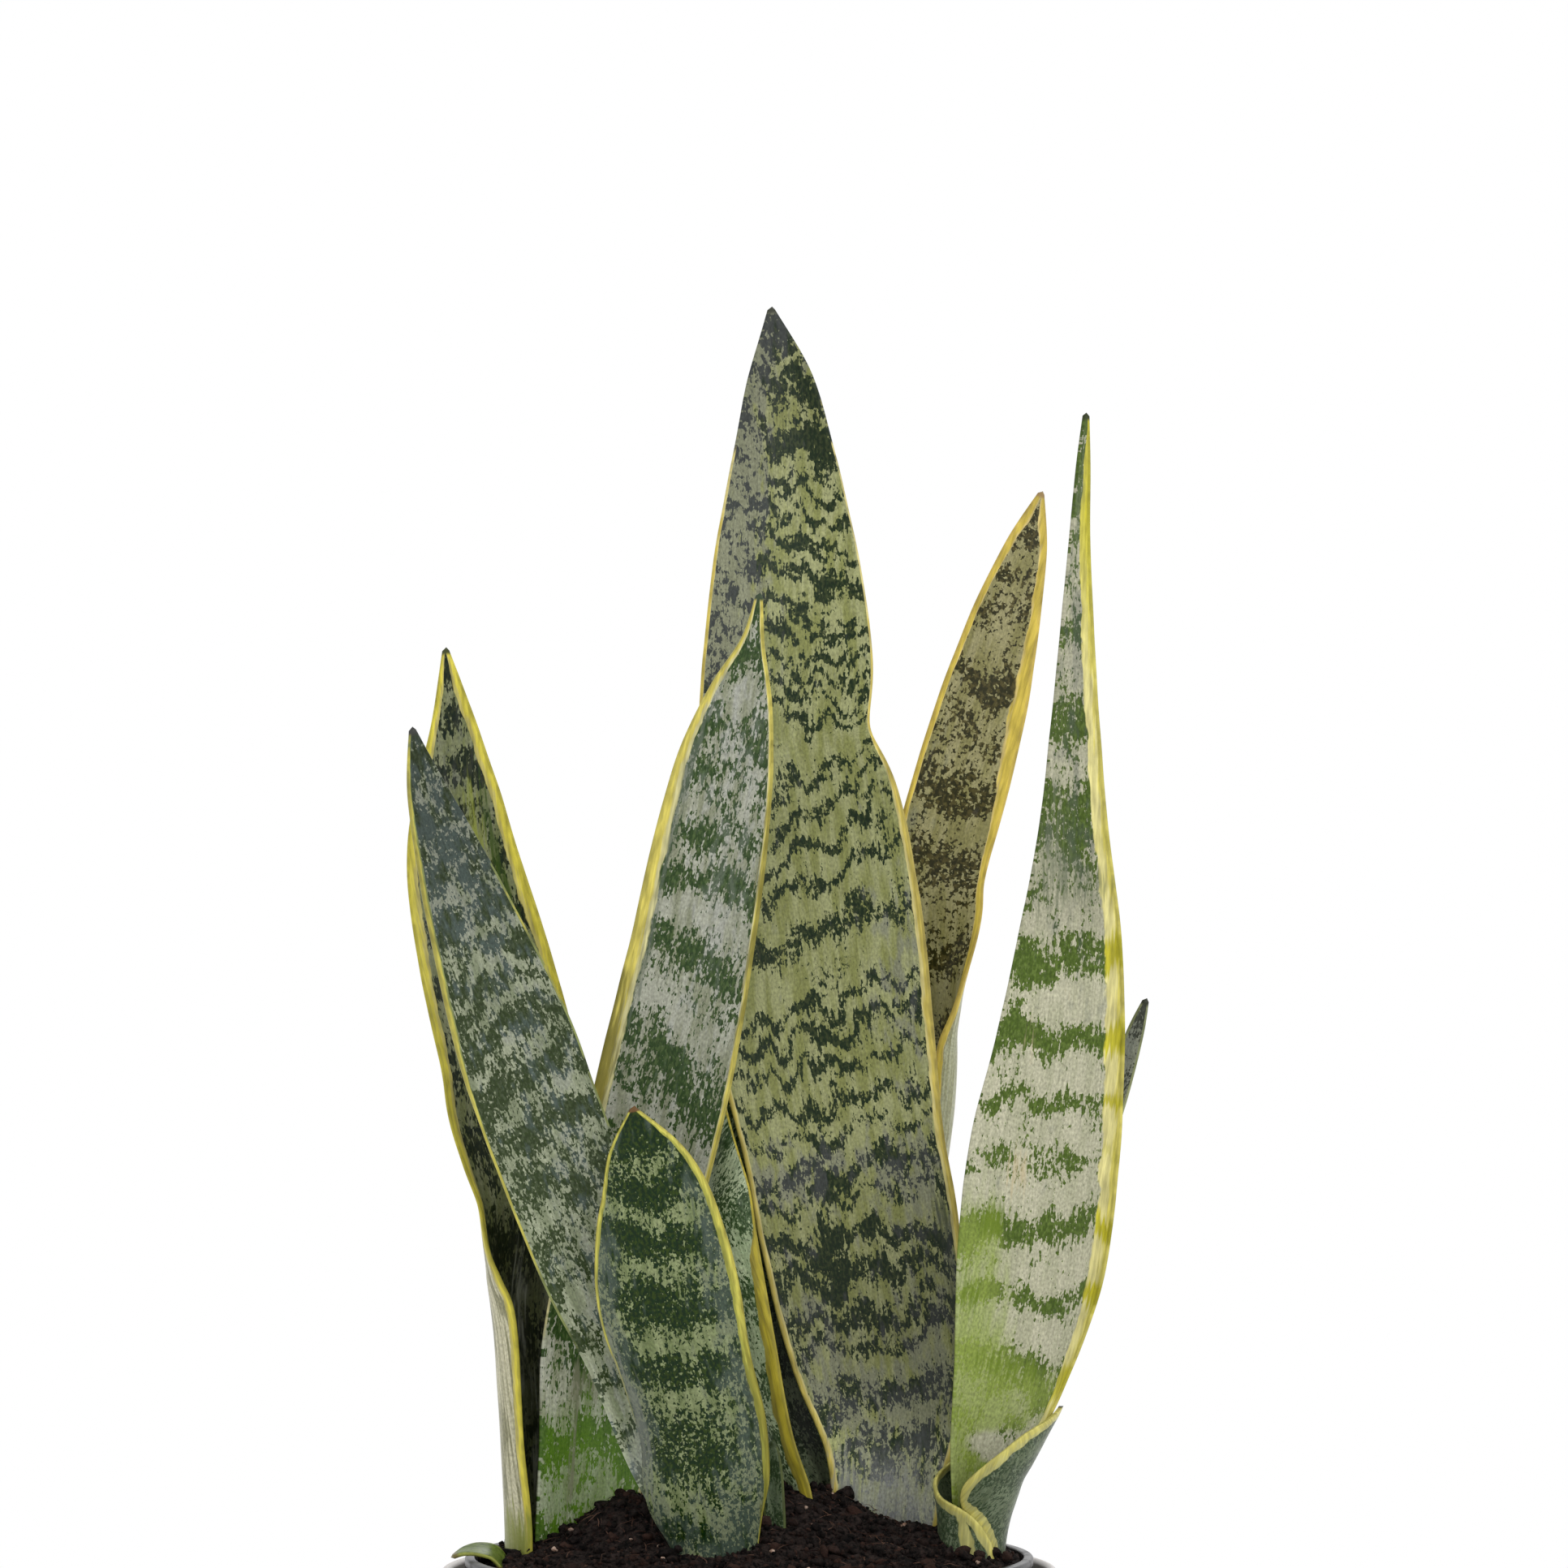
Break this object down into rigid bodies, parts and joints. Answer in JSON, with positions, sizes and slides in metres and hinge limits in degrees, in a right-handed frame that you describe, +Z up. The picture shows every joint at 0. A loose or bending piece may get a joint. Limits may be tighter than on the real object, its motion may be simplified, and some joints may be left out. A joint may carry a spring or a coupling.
{
  "type": "potted snake plant",
  "caption": "Snake plant with stiff, banded, yellow-edged sword leaves growing from dark soil in a black nursery pot inside a plain off-white cover pot.",
  "frame": {"origin": "middle of the cover pot's flat underside", "axes": "+Z up through the pot's axis; the plant's front, the side in the picture, faces -Y; +X to its right"},
  "size_m": [0.2068, 0.17, 0.4991],
  "materials": {
    "cover_pot_plastic": "satin off-white",
    "nursery_pot_plastic": "satin black",
    "potting_soil": "damp fibrous peat crumbs",
    "leaf_olive": "waxy, dark green crossbands, gold margins",
    "leaf_silver_green": "waxy, silver and green marbling, yellow margins",
    "leaf_dark_green": "waxy, pale zigzag bands, yellow margins",
    "leaf_grey_green": "waxy, grey bloom, yellow margins",
    "leaf_cream_green": "waxy, cream with green bands, yellow margins",
    "leaf_tan": "waxy, tan with dark marbling, gold margins"
  },
  "bodies": {
    "root": {"cover_pot": "cover_pot_plastic", "nursery_pot": "nursery_pot_plastic", "soil": "potting_soil", "leaf_tall_middle": "leaf_olive", "leaf_left_middle": "leaf_silver_green", "leaf_front_small": "leaf_dark_green", "leaf_leaning_left": "leaf_grey_green", "leaf_back_left": "leaf_grey_green", "leaf_centre_narrow": "leaf_grey_green", "leaf_right_tall": "leaf_cream_green", "leaf_right_tan": "leaf_tan", "leaf_right_spike": "leaf_grey_green", "leaf_low_centre": "leaf_dark_green", "leaf_low_rim": "leaf_dark_green", "leaf_right_sheath": "leaf_dark_green"}
  },
  "joints": []
}
